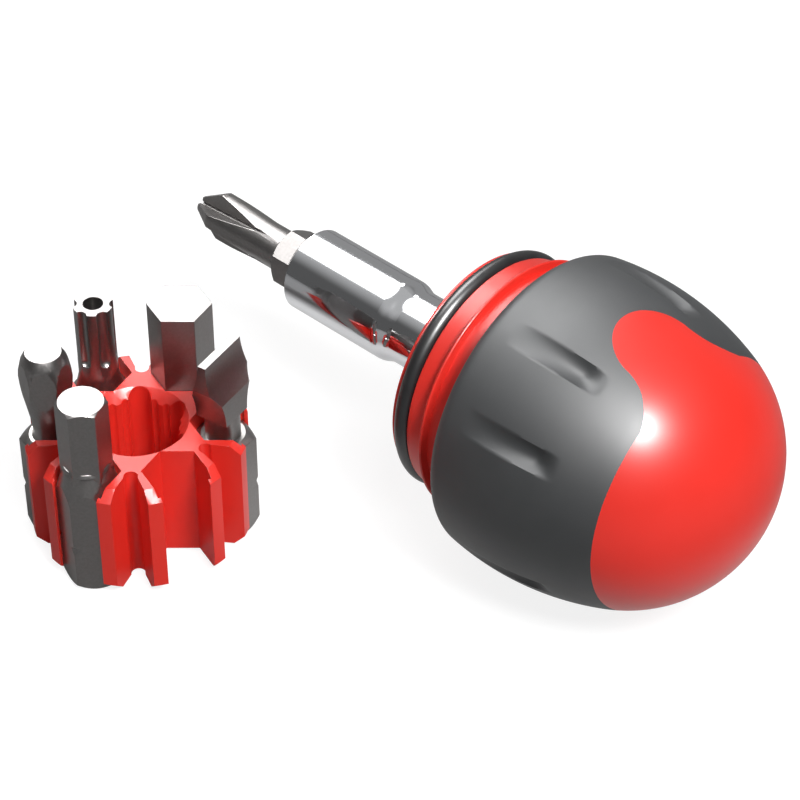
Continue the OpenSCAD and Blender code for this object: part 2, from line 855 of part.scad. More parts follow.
module ball_hex_bit() {
    head = bit_len - shank_len - shank_slope;
    color(bit_steel) at_pocket(4) {
        bit_shank(shank_len);
        translate([0, 0, shank_len + shank_slope]) intersection() {
            rotate_extrude() polygon(concat([[0, 0]],
                [for (i = [len(ball_shares) - 1 : -1 : 0])
                    [ball_shares[i][0] * ball_bit_r, ball_shares[i][1] * head]]));
            slab(0, head) circle(ball_bit_r, $fn = 6);
        }
    }
}

module star_bit() {
    color(bit_steel) at_pocket(3) {
        bit_shank(shank_len);
        difference() {
            union() {
                cone(cross_waist_r + edge, star_r, shank_len + shank_slope - edge,
                    shank_len + shank_slope + star_cone);
                rod(star_r, shank_len, bit_len);
            }
            for (k = [0 : 5]) {
                rotate([0, 0, 60 * k]) translate([star_flute_at, 0, bit_len - star_head_len]) {
                    cylinder(r = star_flute_r, h = star_head_len + over);
                    sphere(star_flute_r);
                }
            }
            rod(pin_hole_r, bit_len - pin_hole_depth, bit_len + over);
        }
    }
}

module wide_hex_bit() {
    color(bit_steel) at_pocket(2) intersection() {
        slab(0, bit_len) circle(hex_r, $fn = 6);
        rotate_extrude() polygon([[0, 0], [hex_r - end_bevel, 0], [hex_r, end_bevel],
            [hex_r, notch_h - notch_half], [hex_r - notch_depth, notch_h],
            [hex_r, notch_h + notch_half], [hex_r, bit_len], [0, bit_len]]);
    }
}

// The blade seen from its flat side: swelling below its end, then drawn in to the waist
module blade_face() {
    wide = blade_w / 2 + blade_swell;
    low = bit_len - blade_len;
    side_r = (pow(wide - blade_waist_r, 2) + pow(blade_len - blade_swell_h, 2))
        / (2 * (wide - blade_waist_r));
    polygon([[-wide, bit_len - blade_swell_h], [wide, bit_len - blade_swell_h],
        [blade_w / 2, bit_len], [-blade_w / 2, bit_len]]);
    difference() {
        translate([-wide, low]) square([2 * wide, blade_len - blade_swell_h]);
        for (side = [-1, 1]) {
            translate([side * (blade_waist_r + side_r), low]) circle(side_r, $fn = 96);
        }
    }
}

// The blade seen along its width: hollow faces that open into the round waist
module blade_edge() {
    scoop_low = bit_len - blade_scoop_h;
    deep = blade_waist_r - blade_t / 2;
    scoop_r = (pow(deep, 2) + pow(blade_scoop_h, 2)) / (2 * deep);
    difference() {
        translate([-blade_waist_r, bit_len - blade_len]) square([2 * blade_waist_r, blade_len]);
        for (side = [-1, 1]) {
            translate([side * (blade_t / 2 + scoop_r), bit_len]) circle(scoop_r, $fn = 96);
        }
    }
}

module slotted_bit() {
    color(bit_steel) at_pocket(1) {
        bit_shank(shank_len);
        rod(blade_waist_r, shank_len, bit_len - blade_len + waist_h);
        rotate([0, 0, blade_turn]) intersection() {
            rotate([90, 0, 0]) translate([0, 0, -blade_waist_r])
                linear_extrude(height = 2 * blade_waist_r) blade_face();
            rotate([0, 0, 90]) rotate([90, 0, 0]) translate([0, 0, -blade_w])
                linear_extrude(height = 2 * blade_w) blade_edge();
        }
    }
}

// One pocket, open outwards between two lips
module pocket_outline() {
    mouth = pocket_half - lip_catch;
    translate([pocket_at, 0]) polygon([[-socket_r, 0], [-socket_r / 2, -pocket_half],
        [lip_at, -pocket_half], [lip_at, -mouth], [carousel_r, -mouth], [carousel_r, mouth],
        [lip_at, mouth], [lip_at, pocket_half], [-socket_r / 2, pocket_half]]);
}

// The notch that splits a web into two arms
module web_notch() {
    out = carousel_r + over;
    root_at = web_notch_at + web_root_r;
    neck = web_neck_share * web_root_r;
    translate([root_at, 0]) circle(web_root_r);
    polygon([[root_at, -neck], [out, -web_notch_half], [out, web_notch_half], [root_at, neck]]);
}

module carousel_outline() {
    step = 360 / pocket_count;
    difference() {
        circle(carousel_r);
        spline_outline(post_fit);
        for (k = [0 : pocket_count - 1]) {
            rotate(step * k) pocket_outline();
            rotate(step * (k + 0.5)) web_notch();
            for (side = [-1, 1]) {
                rotate(step * k + side * minor_angle)
                    translate([post_r + post_fit - minor_in, 0]) circle(minor_r);
            }
        }
    }
}

module bit_carousel() {
    top = carousel_lift + carousel_h;
    color(red_plastic) at_carousel() difference() {
        intersection() {
            slab(carousel_lift, top) carousel_outline();
            translate([0, 0, carousel_lift]) rotate_extrude() polygon([[0, 0],
                [carousel_r - carousel_bevel, 0], [carousel_r, carousel_bevel],
                [carousel_r, carousel_h - carousel_bevel], [carousel_r - carousel_bevel, carousel_h],
                [0, carousel_h]]);
        }
        cone(bore_sink_r - sink_depth, bore_sink_r + sink_depth, top - sink_depth, top + sink_depth);
    }
}

handle_shell();
grip_sleeve();
bit_carousel();
ratchet_housing();
front_cover();
cover_screws();
front_bush();
rear_bush();
pawl_pin();
detent_ball();
detent_spring();
post_ring();
selector_ring();
o_ring();
shift_plunger();
plunger_spring();
spindle();
ratchet_gear();
spindle_clip();
bit_magnet();
bit_clip();
rocker_pawl();
cross_bit();
hex_bit();
ball_hex_bit();
star_bit();
wide_hex_bit();
slotted_bit();
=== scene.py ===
# %% [markdown]
# # A stubby ratcheting screwdriver and its bit carousel
# The engineering model gives every part its place and size, and it never moves.
# We load it first and then dress it: each visible part gets a smoother skin or a better finish.
# %% Load the fixed frame
import json
import math

import bmesh
import bpy
from mathutils import Matrix, Vector


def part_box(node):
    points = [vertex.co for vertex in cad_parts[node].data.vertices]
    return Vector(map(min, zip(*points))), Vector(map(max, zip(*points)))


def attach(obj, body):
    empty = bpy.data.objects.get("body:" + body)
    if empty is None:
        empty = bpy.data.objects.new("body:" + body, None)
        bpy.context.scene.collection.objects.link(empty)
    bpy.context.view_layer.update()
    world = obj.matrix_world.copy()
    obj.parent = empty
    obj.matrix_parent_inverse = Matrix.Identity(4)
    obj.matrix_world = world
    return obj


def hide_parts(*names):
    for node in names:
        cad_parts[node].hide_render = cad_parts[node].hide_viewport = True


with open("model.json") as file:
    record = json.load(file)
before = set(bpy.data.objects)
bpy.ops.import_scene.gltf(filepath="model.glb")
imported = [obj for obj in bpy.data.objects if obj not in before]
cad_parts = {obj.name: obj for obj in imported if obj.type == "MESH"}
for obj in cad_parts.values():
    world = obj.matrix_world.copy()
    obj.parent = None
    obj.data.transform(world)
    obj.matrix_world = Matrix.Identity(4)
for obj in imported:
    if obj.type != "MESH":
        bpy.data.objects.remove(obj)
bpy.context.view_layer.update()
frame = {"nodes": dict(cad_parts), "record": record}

nodes = frame["nodes"]

# %% [markdown]
# ## The driver's own axis
# The driver lies along X with its tip towards minus X. All its round parts share one axis, so we
# measure back along it and outwards from it, in millimetres. Zero is the front edge that the grip
# has in the engineering model. That grip's box tells us where the axis is, and the ball's radius.
# %% Find the axis
MM = 0.001
ball_low, ball_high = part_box("grip_sleeve")
BALL_R = (ball_high[2] - ball_low[2]) / 2 / MM
FRONT_X = ball_low[0] / MM
AXIS_Y = (ball_low[1] + ball_high[1]) / 2 / MM
AXIS_Z = (ball_low[2] + ball_high[2]) / 2 / MM
print("axis at y", round(AXIS_Y, 3), "z", round(AXIS_Z, 3), "grip front at x", round(FRONT_X, 3))


def at_axis(back, radius):
    """The place above the axis at a distance behind the grip's front edge, in metres."""
    return Vector((FRONT_X + back, AXIS_Y, AXIS_Z + radius)) * MM


# %% [markdown]
# ## The camera
# The photograph looks down at the tool from its carousel's side, through a long lens. These numbers
# come from a fit of the camera to the edges of the driver and the carousel.
# %% Place the camera
camera_data = bpy.data.cameras.new("camera")
camera_data.lens = 129.03
camera_data.sensor_width = 36
camera_data.clip_start = 0.01
camera = bpy.data.objects.new("camera", camera_data)
camera.location = Vector((FRONT_X + 151.30, AXIS_Y - 184.80, 224.37)) * MM
camera.rotation_euler = (math.radians(49.06), 0, math.radians(42.73))
bpy.context.collection.objects.link(camera)
bpy.context.scene.camera = camera
bpy.context.scene.view_settings.view_transform = "Standard"
print("camera at", [round(v, 3) for v in camera.location])

# %% [markdown]
# ## Small helpers for materials
# Every finish is made from shader nodes. Three short functions keep that code readable:
# one makes an empty material with its main shader, one adds a node, and one joins two sockets.
# %% Material helpers
def new_finish(name, **values):
    """A new material and its main shader, with some of the shader's sockets set."""
    finish = bpy.data.materials.new(name)
    finish.use_nodes = True
    shader = finish.node_tree.nodes["Principled BSDF"]
    for socket, value in values.items():
        shader.inputs[socket.replace("_", " ")].default_value = value
    print("finish:", name)
    return finish, shader


def add_node(finish, kind, **values):
    """A new node in a material, with some of its sockets set."""
    node = finish.node_tree.nodes.new(kind)
    for socket, value in values.items():
        node.inputs[socket.replace("_", " ")].default_value = value
    return node


def join(finish, out_node, out_socket, in_node, in_socket):
    """Joins an output socket to an input socket."""
    finish.node_tree.links.new(out_node.outputs[out_socket], in_node.inputs[in_socket])


# %% [markdown]
# A moulded or ground surface is never perfectly even. A fine noise can tilt the surface a little,
# and coarser ones can vary its gloss and its colour. All of them read Object coordinates, so they
# stay put on the part. A noise seldom leaves the middle of its range, so only that middle is used.
# %% Fine texture and uneven gloss
GRAIN_DETAIL, PATCH_DETAIL = 3.0, 4.0
NOISE_LOW, NOISE_HIGH = 0.3, 0.7
COLOUR_LOW, COLOUR_HIGH = 0.35, 0.65


def add_grain(finish, shader, scale, strength, depth):
    """Tilts the surface by a fine noise. Returns the coordinates, for the other noises to use."""
    place = add_node(finish, "ShaderNodeTexCoord")
    noise = add_node(finish, "ShaderNodeTexNoise", Scale=scale, Detail=GRAIN_DETAIL)
    bump = add_node(finish, "ShaderNodeBump", Strength=strength, Distance=depth)
    join(finish, place, "Object", noise, "Vector")
    join(finish, noise, "Fac", bump, "Height")
    join(finish, bump, "Normal", shader, "Normal")
    return place


def vary(finish, shader, place, socket, scale, low, high):
    """Lets one value of the shader wander between two numbers."""
    noise = add_node(finish, "ShaderNodeTexNoise", Scale=scale, Detail=PATCH_DETAIL)
    spread = add_node(finish, "ShaderNodeMapRange")
    spread.inputs["From Min"].default_value = NOISE_LOW
    spread.inputs["From Max"].default_value = NOISE_HIGH
    spread.inputs["To Min"].default_value = low
    spread.inputs["To Max"].default_value = high
    join(finish, place, "Object", noise, "Vector")
    join(finish, noise, "Fac", spread, "Value")
    join(finish, spread, "Result", shader, socket)


def vary_colour(finish, shader, place, scale, first, second):
    """Lets the colour wander between two colours."""
    noise = add_node(finish, "ShaderNodeTexNoise", Scale=scale, Detail=PATCH_DETAIL)
    ramp = finish.node_tree.nodes.new("ShaderNodeValToRGB")
    ramp.color_ramp.elements[0].position = COLOUR_LOW
    ramp.color_ramp.elements[1].position = COLOUR_HIGH
    ramp.color_ramp.elements[0].color = (*first, 1)
    ramp.color_ramp.elements[1].color = (*second, 1)
    join(finish, place, "Object", noise, "Vector")
    join(finish, noise, "Fac", ramp, "Fac")
    join(finish, ramp, "Color", shader, "Base Color")


# %% [markdown]
# ## The finishes
# The handle, the collar and the carousel are moulded in one glossy red plastic.
# Its gloss is soft, so that a lamp shows on it as a bright patch with a wide glow.
# %% Red plastic
red_plastic, shader = new_finish("red_plastic", Roughness=0.34, Specular_IOR_Level=0.44)
place = add_grain(red_plastic, shader, scale=2600, strength=0.03, depth=0.00002)
vary_colour(red_plastic, shader, place, 90, (0.80, 0.029, 0.018), (0.84, 0.032, 0.021))

# %% [markdown]
# The grip is a soft dark grey rubber with a satin surface. Its grain is fine and even,
# and its gloss is broad: at its brightest it turns pale grey.
# %% Grey grip
grey_grip, shader = new_finish("grey_grip", Roughness=0.55, Specular_IOR_Level=0.74)
place = add_grain(grey_grip, shader, scale=3200, strength=0.06, depth=0.00002)
vary(grey_grip, shader, place, "Roughness", scale=160, low=0.53, high=0.57)
vary_colour(grey_grip, shader, place, 260, (0.017, 0.019, 0.021), (0.021, 0.023, 0.025))

# %% [markdown]
# The chuck is polished and plated, so it is nearly a mirror. A little roughness softens the edges
# of what it reflects, and its waviness is very faint.
# %% Chrome
chrome, shader = new_finish("chrome", Metallic=1.0, Roughness=0.08)
place = add_grain(chrome, shader, scale=120, strength=0.02, depth=0.00001)
vary_colour(chrome, shader, place, 60, (0.78, 0.79, 0.81), (0.83, 0.84, 0.86))

# %% [markdown]
# The bits are blasted tool steel: warm grey, with a fine grain that scatters the light.
# %% Bit steel
bit_steel, shader = new_finish("bit_steel", Metallic=1.0, Roughness=0.33)
place = add_grain(bit_steel, shader, scale=9000, strength=0.05, depth=0.00001)
vary(bit_steel, shader, place, "Roughness", scale=900, low=0.31, high=0.35)
vary_colour(bit_steel, shader, place, 3200, (0.238, 0.228, 0.223), (0.26, 0.249, 0.244))

# %% [markdown]
# Inside the tool are plain machined steel, brass bushes and black rubber rings.
# %% Plain steel, brass and rubber
plain_steel, shader = new_finish("plain_steel", Metallic=1.0, Roughness=0.28)
place = add_grain(plain_steel, shader, scale=1500, strength=0.1, depth=0.00002)
vary_colour(plain_steel, shader, place, 500, (0.5, 0.5, 0.51), (0.6, 0.6, 0.61))

bush_brass, shader = new_finish("bush_brass", Metallic=1.0, Roughness=0.3)
place = add_grain(bush_brass, shader, scale=1500, strength=0.1, depth=0.00002)
vary_colour(bush_brass, shader, place, 500, (0.6, 0.42, 0.17), (0.68, 0.5, 0.22))

black_rubber, shader = new_finish("black_rubber", Roughness=0.36, Specular_IOR_Level=0.7)
place = add_grain(black_rubber, shader, scale=2200, strength=0.08, depth=0.00002)
vary_colour(black_rubber, shader, place, 400, (0.008, 0.008, 0.009), (0.014, 0.014, 0.015))

# %% [markdown]
# ## Finishes for the engineering parts
# Parts whose own shape is right keep it. They only get one of the finishes above.
# %% Paint the loaded parts
finish_of_slot = {
    "red_plastic": red_plastic, "grey_grip": grey_grip, "chrome": chrome, "bit_steel": bit_steel,
    "screw_steel": plain_steel, "bush_brass": bush_brass, "black_rubber": black_rubber}
for part in frame["record"]["subparts"]:
    mesh = nodes[part["node"]].data
    mesh.materials.clear()
    mesh.materials.append(finish_of_slot[part["material_slot"]])

# %% [markdown]
# ## Turning a shape into a part
# Every new piece ends the same way: its faces are turned outwards, it is shaded smoothly with crisp
# corners, it is hung on the body it rides on, it gets its slot's finish, and the engineering part
# it stands for is hidden.
# On a piece with rounded edges, each corner's shading then leans towards its largest face, so the
# large flat faces still look flat.
# %% Finish a piece
CRISP_FROM = 40


def to_piece(shape, name, body, slot, replaced):
    """Makes an object of a shape, in place of an engineering part and on the same body."""
    bmesh.ops.recalc_face_normals(shape, faces=shape.faces)
    mesh = bpy.data.meshes.new(name)
    shape.to_mesh(mesh)
    shape.free()
    mesh.materials.append(finish_of_slot[slot])
    mesh.shade_smooth()
    mesh.set_sharp_from_angle(angle=math.radians(CRISP_FROM))
    piece = bpy.data.objects.new(name, mesh)
    bpy.context.collection.objects.link(piece)
    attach(piece, body)
    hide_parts(replaced)
    print(name, len(mesh.polygons), "faces")
    return piece


def lean_to_large_faces(piece):
    """Lets the large faces decide how the corners between them are shaded."""
    lean = piece.modifiers.new("lean", "WEIGHTED_NORMAL")
    lean.keep_sharp = True


# %% [markdown]
# ## The soft grip
# On the real tool the grip is a thin layer of soft rubber, moulded over the red shell. Two red
# tongues, above and below, are left bare, and eight finger grooves are pressed into its sides.
# It could be sculpted by hand, but its form is exact: a ring turned from three arcs.
# So we draw half of its outline as arcs and spin that round the axis, as a lathe would.
# The rubber's front ends in a crisp lip, where the round shoulder meets a flat face. The lip lies
# half a millimetre behind the engineering model's front edge.
# %% The outline of the ball
SHOULDER_R, SHOULDER_BACK, LIP_BACK = 2.2, 2.5, 0.5
BARREL_R, BARREL_BACK = 35.0, 7.2
END_SMALLER = 1.25
END_R = BALL_R - END_SMALLER
GRIP_LENGTH, GRIP_THICKNESS = 21.4, 1.5
NECK_GROOVE_R = 14.2
SHOULDER_SPACING, OUTER_SPACING, INNER_SPACING = 0.2, 0.22, 2
BARREL_MIDDLE = (BARREL_BACK, BALL_R - BARREL_R)
SHOULDER_MIDDLE = (SHOULDER_BACK, BARREL_MIDDLE[1]
    + math.sqrt((BARREL_R - SHOULDER_R) ** 2 - (BARREL_BACK - SHOULDER_BACK) ** 2))
END_MIDDLE = (BARREL_BACK + math.sqrt((BARREL_R - END_R) ** 2 - BARREL_MIDDLE[1] ** 2), 0.0)
SHOULDER_TURN = math.degrees(math.atan2(SHOULDER_MIDDLE[1] - BARREL_MIDDLE[1],
    SHOULDER_MIDDLE[0] - BARREL_MIDDLE[0]))
END_TURN = math.degrees(math.atan2(-BARREL_MIDDLE[1], END_MIDDLE[0] - BARREL_BACK))


def arc(middle, radius, start, end, spacing):
    """Points (back, out) on an arc between two angles in degrees, about one spacing apart."""
    steps = max(2, round(abs(math.radians(end - start)) * radius / spacing))
    angles = [math.radians(start + (end - start) * i / steps) for i in range(steps + 1)]
    return [(middle[0] + radius * math.cos(a), middle[1] + radius * math.sin(a)) for a in angles]


def grip_ring(grow):
    """The closed outline of the ring of rubber, with its outer face grown by a distance."""
    outer_end = END_R + grow
    rear_turn = math.degrees(math.acos((GRIP_LENGTH - END_MIDDLE[0]) / outer_end))
    lip = LIP_BACK - grow
    outer_shoulder = SHOULDER_R + grow
    front_turn = math.degrees(math.acos((lip - SHOULDER_BACK) / outer_shoulder))
    outside = (arc(SHOULDER_MIDDLE, outer_shoulder, front_turn, SHOULDER_TURN, SHOULDER_SPACING)
        + arc(BARREL_MIDDLE, BARREL_R + grow, SHOULDER_TURN, END_TURN, OUTER_SPACING)[1:]
        + arc(END_MIDDLE, outer_end, END_TURN, rear_turn, OUTER_SPACING)[1:])
    inner_end = END_R - GRIP_THICKNESS
    inner_turn = math.degrees(math.acos((GRIP_LENGTH - END_MIDDLE[0]) / inner_end))
    inner_barrel = BARREL_R - GRIP_THICKNESS
    inner_front = 90 + math.degrees(math.asin((BARREL_BACK - GRIP_THICKNESS) / inner_barrel))
    inside = (arc(END_MIDDLE, inner_end, inner_turn, END_TURN, INNER_SPACING)
        + arc(BARREL_MIDDLE, inner_barrel, END_TURN, inner_front, INNER_SPACING)[1:])
    return outside + inside + [(GRIP_THICKNESS, NECK_GROOVE_R), (lip, NECK_GROOVE_R)]


print("grip ring:", len(grip_ring(0)), "points")
print("arcs meet at", round(SHOULDER_TURN, 1), "and", round(END_TURN, 1), "degrees")

# %% [markdown]
# The lathe takes a closed outline. It places one ring of corners above the axis, joins them,
# and spins them a full turn, welding the last ring to the first.
# %% The lathe
WELD = 0.001 * MM


def lathe(outline, steps):
    """A closed outline of points (back, out), spun round the axis in a number of steps."""
    shape = bmesh.new()
    corners = [shape.verts.new(at_axis(back, out)) for back, out in outline]
    loop = [shape.edges.new((corners[i - 1], corners[i])) for i in range(len(corners))]
    bmesh.ops.spin(shape, geom=corners + loop, cent=at_axis(0, 0), axis=(1, 0, 0),
        angle=math.tau, steps=steps, use_merge=True)
    bmesh.ops.remove_doubles(shape, verts=shape.verts, dist=WELD)
    return shape


GRIP_STEPS = 540
grip_shape = lathe(grip_ring(0), GRIP_STEPS)
print("spun:", len(grip_shape.faces), "faces")

# %% [markdown]
# ## Finger grooves
# A finger groove is a hollow in the rubber with two crisp edges along the tool. It starts flat at
# the front, grows deeper towards the back and ends in a soft slope. Cutting it with a rod would
# make the front end crisp too. So we lower the ring's own points: across the groove by a parabola,
# and along it by a slow rise and a smooth fall. The edges lie on lines of the mesh, so they stay
# crisp. Their places are counted in steps of the lathe, from straight up and from straight down.
# %% Press the finger grooves
LATHE_STEP = math.tau / GRIP_STEPS
GROOVE_PLACES, GROOVE_HALF_STEPS = (-90, -40, 40, 90), 7
GROOVE_TURNS = [math.radians(side) + steps * LATHE_STEP
    for side in (0, 180) for steps in GROOVE_PLACES]
GROOVE_HALF = GROOVE_HALF_STEPS * LATHE_STEP
GROOVE_FRONT, GROOVE_DEEPEST, GROOVE_REAR = 4.0, 13.2, 16.2
GROOVE_DEPTH = 0.85


def barrel_radius(back):
    """The radius of the grip's barrel at a place along the axis."""
    return BARREL_MIDDLE[1] + math.sqrt(BARREL_R ** 2 - (back - BARREL_BACK) ** 2)


def groove_depth(back, around):
    """How far the grip is hollowed at a place along the axis and round it."""
    aside = min(abs(math.remainder(around - turn, math.tau)) for turn in GROOVE_TURNS) / GROOVE_HALF
    if aside >= 1 or not GROOVE_FRONT < back < GROOVE_REAR:
        return 0.0
    rise = min((back - GROOVE_FRONT) / (GROOVE_DEEPEST - GROOVE_FRONT), 1)
    fall = min((GROOVE_REAR - back) / (GROOVE_REAR - GROOVE_DEEPEST), 1)
    return GROOVE_DEPTH * rise * fall * fall * (3 - 2 * fall) * (1 - aside * aside)


pressed = 0
for corner in grip_shape.verts:
    back = corner.co.x / MM - FRONT_X
    out_y, out_z = corner.co.y / MM - AXIS_Y, corner.co.z / MM - AXIS_Z
    radius = math.hypot(out_y, out_z)
    depth = groove_depth(back, math.atan2(out_y, out_z))
    if depth > 0 and radius > barrel_radius(back) - GRIP_THICKNESS / 2:
        corner.co.y = (AXIS_Y + out_y * (1 - depth / radius)) * MM
        corner.co.z = (AXIS_Z + out_z * (1 - depth / radius)) * MM
        pressed += 1
print("pressed", pressed, "points")

# %% [markdown]
# ## The wavy rear border
# The grip leaves two red tongues bare. Each tongue is a round end that runs through hollow curves
# into the border. We cut the ring with a block of that outline, once above and once below the axis.
# %% The tongue's outline
TONGUE_FRONT, TONGUE_R, BLEND_R, BLEND_DIP = 12.1, 4.9, 5.0, 0.3
tongue_middle = TONGUE_FRONT + TONGUE_R
blend_middle = GRIP_LENGTH + BLEND_DIP - BLEND_R
blend_aside = math.sqrt((TONGUE_R + BLEND_R) ** 2 - (tongue_middle - blend_middle) ** 2)
tongue_turn = math.atan2(blend_aside, blend_middle - tongue_middle)
TONGUE_STEPS = 14


def tongue_side(side):
    """One side of the outline, from the tongue's round end to the foot of its hollow curve."""
    ends = [tongue_turn * i / TONGUE_STEPS for i in range(TONGUE_STEPS + 1)]
    return ([(side * TONGUE_R * math.sin(a), tongue_middle - TONGUE_R * math.cos(a)) for a in ends]
        + [(side * (blend_aside - BLEND_R * math.sin(a)), blend_middle + BLEND_R * math.cos(a))
            for a in reversed(ends[:-1])])


tongue_outline = tongue_side(1) + tongue_side(-1)[:0:-1]
print("tongue outline:", len(tongue_outline), "points")

# %% [markdown]
# One block goes up and the other down, each from a flat sheet of that outline at the axis's height.
# We weld the two together there and take the sheets out, which leaves one solid.
# %% The tongue blocks
HAIR = 0.01 * MM
block_shape = bmesh.new()
for height in (-1, 1):
    corners = [block_shape.verts.new(Vector((FRONT_X + back, AXIS_Y + aside, AXIS_Z)) * MM)
        for aside, back in tongue_outline]
    sheet = block_shape.faces.new(corners)
    raised = bmesh.ops.extrude_face_region(block_shape, geom=[sheet])["geom"]
    bmesh.ops.translate(block_shape, vec=(0, 0, height * 2 * BALL_R * MM),
        verts=[item for item in raised if isinstance(item, bmesh.types.BMVert)])
bmesh.ops.remove_doubles(block_shape, verts=block_shape.verts, dist=WELD)
inner_sheets = [face for face in block_shape.faces
    if abs(face.calc_center_median().z - AXIS_Z * MM) < HAIR]
for sheet in inner_sheets:
    block_shape.faces.remove(sheet)
print("tongue blocks:", len(block_shape.faces), "faces")

# %% [markdown]
# A Boolean modifier subtracts one solid from another. These two helpers put a shape into an object
# for the time of the cut, and take the result out as a new shape. A cut can leave slivers, faces
# too thin to shade well, so they are closed up.
# %% Cut one shape with others
def stand_up(shape, name):
    """Puts a shape into an object of its own, for use in a cut."""
    bmesh.ops.recalc_face_normals(shape, faces=shape.faces)
    mesh = bpy.data.meshes.new(name)
    shape.to_mesh(mesh)
    shape.free()
    solid = bpy.data.objects.new(name, mesh)
    bpy.context.collection.objects.link(solid)
    return solid


def cut_away(solid, *tools):
    """The solid without the tools' space. The solid is used up, and the tools are kept."""
    for tool in tools:
        cut = solid.modifiers.new("cut", "BOOLEAN")
        cut.operation = "DIFFERENCE"
        cut.solver = "EXACT"
        cut.object = tool
    bpy.context.view_layer.update()
    shape = bmesh.new()
    shape.from_object(solid, bpy.context.evaluated_depsgraph_get())
    bpy.data.objects.remove(solid)
    bmesh.ops.dissolve_degenerate(shape, edges=shape.edges, dist=HAIR)
    return shape


tongue_blocks = stand_up(block_shape, "tongue_blocks")
to_piece(cut_away(stand_up(grip_shape, "grip_blank"), tongue_blocks),
    "grip_skin", "handle", "grey_grip", "grip_sleeve")

# %% [markdown]
# ## The red shell
# Under the grip is the ball's red shell: a hollow ball with a flanged neck in front, and a boss
# inside that takes the tool's splined post. It is turned as one full ball with its hollow. Then the
# space of the rubber is cut away from it, which leaves the two tongues exactly flush with the grip.
# The flange is a thin disc that keeps the fingers off the collar. Its round crest shows as a thin
# bright line, and its steep rear face as a darker band behind that line.
# %% The shell's outline
NECK_LENGTH, NECK_R = 2.85, 14.15
FLANGE_R, CREST_R, FLANGE_SLOPE = 15.15, 0.2, 84
HOLLOW_R, DOME_WALL = 13.386, 1.1
DOME_R = END_R - DOME_WALL
BOSS_R, BOSS_FRONT, SOCKET_BACK = 7.0, 22.7, 28.2
SHELL_STEPS = 360
CREST_SPACING, SIDE_SPACING, DOME_SPACING, HOLLOW_SPACING = 0.06, 0.6, 0.35, 1
crest_middle = (CREST_R - NECK_LENGTH, FLANGE_R - CREST_R)
crest = arc(crest_middle, CREST_R, 180, 90 - FLANGE_SLOPE, CREST_SPACING)
flange_foot = crest[-1][0] + (crest[-1][1] - NECK_R) / math.tan(math.radians(FLANGE_SLOPE))
neck_outline = [(-NECK_LENGTH, HOLLOW_R)] + crest + [(flange_foot, NECK_R), (LIP_BACK, NECK_R)]
front_turn = math.degrees(math.acos((LIP_BACK - SHOULDER_BACK) / SHOULDER_R))
ball_outside = (arc(SHOULDER_MIDDLE, SHOULDER_R, front_turn, SHOULDER_TURN, SIDE_SPACING)
    + arc(BARREL_MIDDLE, BARREL_R, SHOULDER_TURN, END_TURN, SIDE_SPACING)[1:]
    + arc(END_MIDDLE, END_R, END_TURN, 0, DOME_SPACING)[1:])
hollow_turn = math.degrees(math.asin(HOLLOW_R / DOME_R))
boss_turn = math.degrees(math.asin(BOSS_R / DOME_R))
hollow_outline = ([(BOSS_FRONT, 0), (BOSS_FRONT, BOSS_R)]
    + arc(END_MIDDLE, DOME_R, boss_turn, hollow_turn, HOLLOW_SPACING))
shell_shape = lathe(neck_outline + ball_outside + hollow_outline, SHELL_STEPS)
print("shell:", len(shell_shape.faces), "faces")
print("flange from", -NECK_LENGTH, "to", round(flange_foot, 2))

# %% [markdown]
# The socket is round with six round ribs, to match the post. So it takes seven rods to cut it.
# %% Cut the shell
POST_R, RIB_AT, RIB_R, POST_FIT = 4.55, 4.6, 1.2, 0.1
RIBS, POST_SIDES, RIB_SIDES = 6, 64, 32
OVERCUT, RUBBER_OVERCUT = 1, 0.5
rod_front = BOSS_FRONT - OVERCUT
rod_middle, rod_length = (rod_front + SOCKET_BACK) / 2, SOCKET_BACK - rod_front


def socket_rod(aside, turn, radius, sides):
    """A round rod along the axis, at a distance from it and a turn round it."""
    shape = bmesh.new()
    bmesh.ops.create_cone(shape, cap_ends=True, segments=sides, radius1=radius * MM,
        radius2=radius * MM, depth=rod_length * MM, matrix=Matrix.Rotation(math.pi / 2, 4, "Y"))
    outwards = Vector((0, math.sin(turn), math.cos(turn)))
    place = at_axis(rod_middle, 0) + outwards * aside * MM
    bmesh.ops.translate(shape, vec=place, verts=shape.verts)
    return stand_up(shape, "socket_rod")


socket_rods = [socket_rod(0, 0, POST_R + POST_FIT, POST_SIDES)]
for rib in range(RIBS):
    turn = math.radians(360 / RIBS * (rib + 0.5))
    socket_rods.append(socket_rod(RIB_AT, turn, RIB_R + POST_FIT, RIB_SIDES))
rubber_ring = stand_up(lathe(grip_ring(RUBBER_OVERCUT), SHELL_STEPS), "rubber_ring")
rubber_space = stand_up(cut_away(rubber_ring, tongue_blocks), "rubber_space")
to_piece(cut_away(stand_up(shell_shape, "shell_blank"), rubber_space, *socket_rods),
    "shell_skin", "handle", "red_plastic", "handle_shell")
for tool in [tongue_blocks, rubber_space, *socket_rods]:
    bpy.data.objects.remove(tool)

